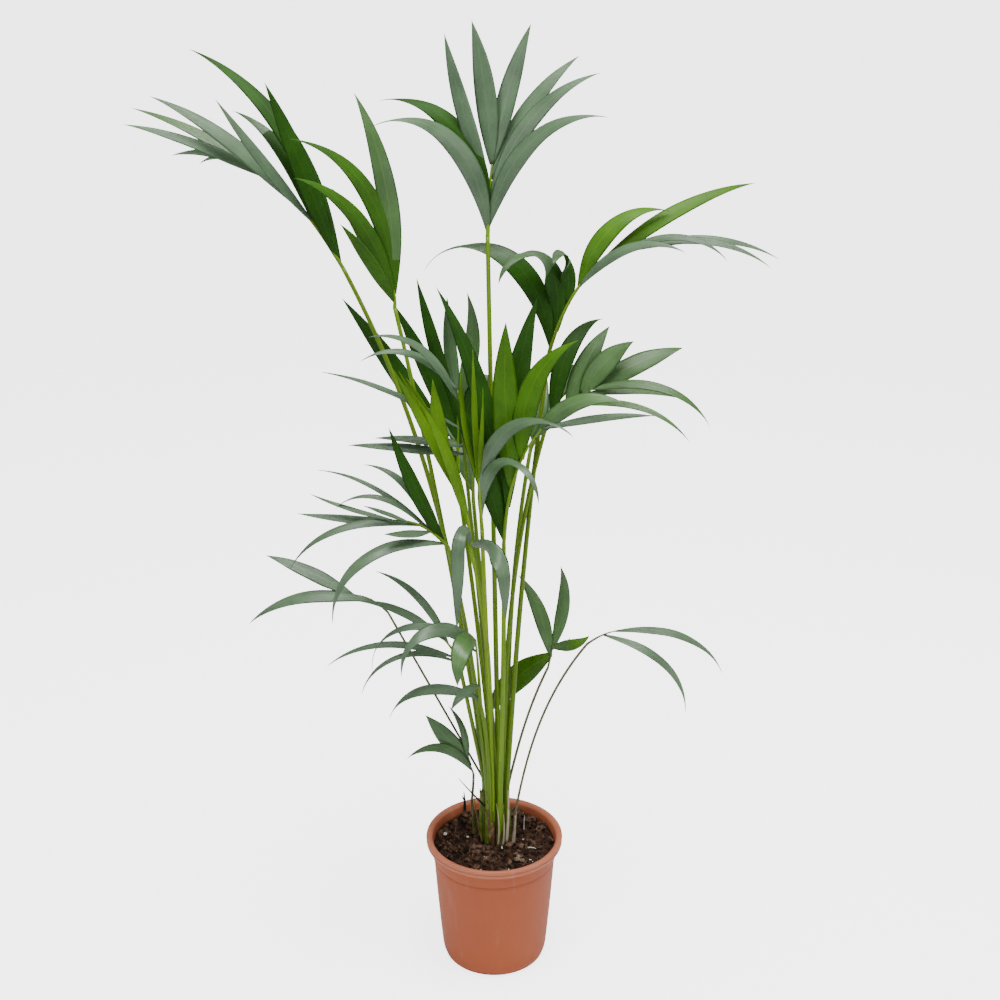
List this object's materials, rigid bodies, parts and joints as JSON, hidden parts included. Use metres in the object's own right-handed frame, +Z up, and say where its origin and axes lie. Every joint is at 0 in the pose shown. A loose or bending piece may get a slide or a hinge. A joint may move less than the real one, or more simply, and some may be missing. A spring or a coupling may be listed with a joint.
{
  "type": "potted kentia palm",
  "caption": "Young clump-planted kentia palm with arching feather fronds in a round tapered plastic pot.",
  "frame": {"origin": "middle of the flat underside of the pot", "axes": "+Z up along the pot's axis to the crown, +X to the right of the front view, the front of the plant faces -Y"},
  "size_m": [0.8125, 0.4635, 1.2695],
  "materials": {
    "pot_plastic": "matt terracotta-coloured plastic",
    "soil": "dark crumbly potting soil",
    "sheath": "olive and brown dry leaf sheath",
    "petiole": "smooth green leaf stalk",
    "leaf": "semi-gloss dark green leaf",
    "leaf_new": "semi-gloss fresh yellow-green leaf"
  },
  "bodies": {
    "root": {"frond_arcs_left": "leaf", "frond_back": "leaf", "frond_back_left": "leaf", "frond_back_right": "leaf", "frond_centre_right": "leaf", "frond_folded": "leaf_new", "frond_foot_left": "leaf", "frond_front": "leaf", "frond_left": "leaf", "frond_low_front": "leaf", "frond_low_left": "leaf", "frond_low_left_outer": "leaf", "frond_low_right": "leaf", "frond_right": "leaf", "frond_right_outer": "leaf", "frond_top": "leaf", "frond_upper_left": "leaf", "frond_upper_left_inner": "leaf", "frond_upper_right": "leaf", "petiole_arcs_left": "petiole", "petiole_back": "petiole", "petiole_back_left": "petiole", "petiole_back_right": "petiole", "petiole_centre_right": "petiole", "petiole_folded": "petiole", "petiole_foot_left": "petiole", "petiole_front": "petiole", "petiole_left": "petiole", "petiole_low_front": "petiole", "petiole_low_left": "petiole", "petiole_low_left_outer": "petiole", "petiole_low_right": "petiole", "petiole_right": "petiole", "petiole_right_outer": "petiole", "petiole_top": "petiole", "petiole_upper_left": "petiole", "petiole_upper_left_inner": "petiole", "petiole_upper_right": "petiole", "pot": "pot_plastic", "soil": "soil", "stem_back": "sheath", "stem_front": "sheath", "stem_front_left": "sheath", "stem_left": "sheath", "stem_right": "sheath", "stem_side_left": "sheath", "stem_side_right": "sheath"}
  },
  "joints": []
}
